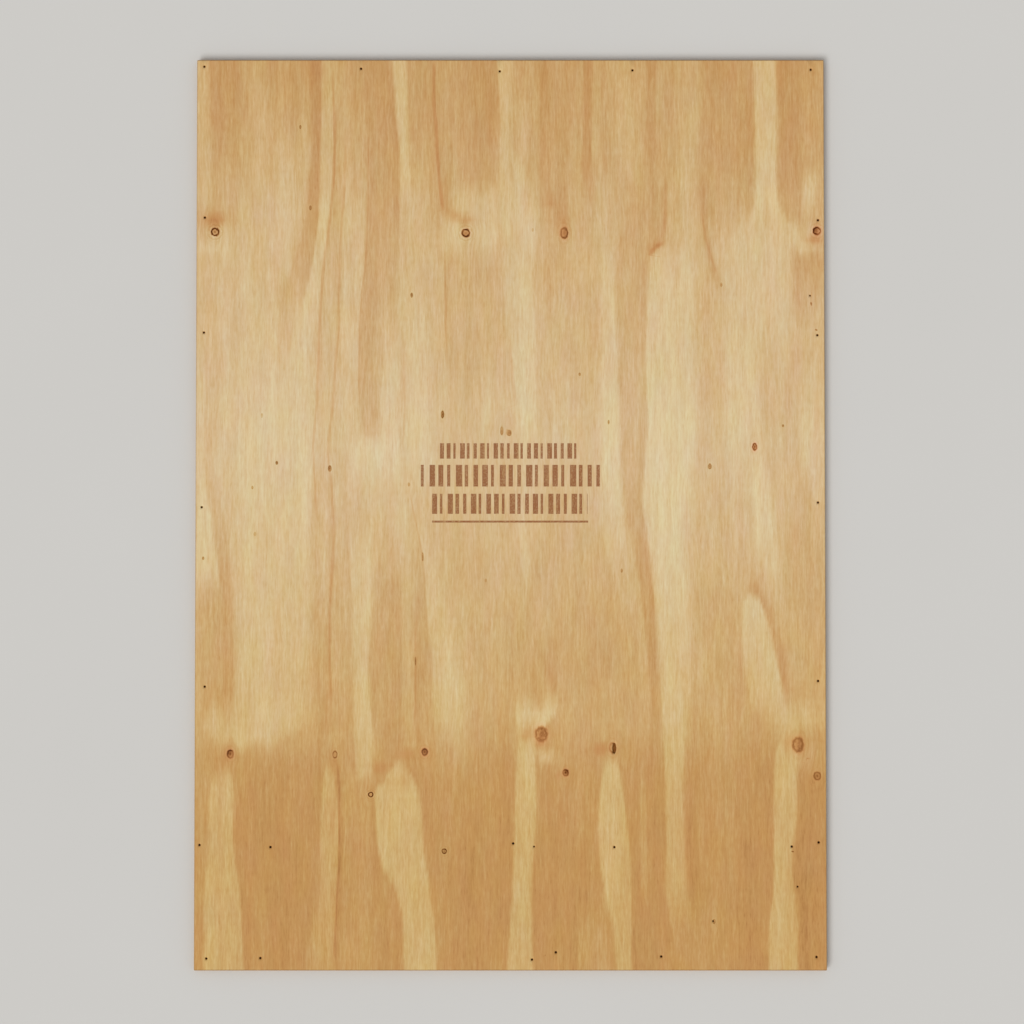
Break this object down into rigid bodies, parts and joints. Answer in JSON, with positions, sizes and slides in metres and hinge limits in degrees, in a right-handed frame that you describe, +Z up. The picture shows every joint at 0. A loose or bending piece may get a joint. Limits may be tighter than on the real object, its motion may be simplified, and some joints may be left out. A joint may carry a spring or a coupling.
{
  "type": "plywood sheet",
  "caption": "Used softwood plywood sheet lying flat, with a knotty rotary-cut face, plies showing round its sawn edges and nail holes along its rims.",
  "frame": {"origin": "centre of the underside", "axes": "+X across the face grain, +Y along the face grain and the sheet's length, +Z up out of the better face"},
  "size_m": [1.2192, 1.764, 0.0183],
  "materials": {
    "softwood_veneer": "matte"
  },
  "bodies": {
    "root": {"plywood_sheet": "softwood_veneer"}
  },
  "joints": []
}
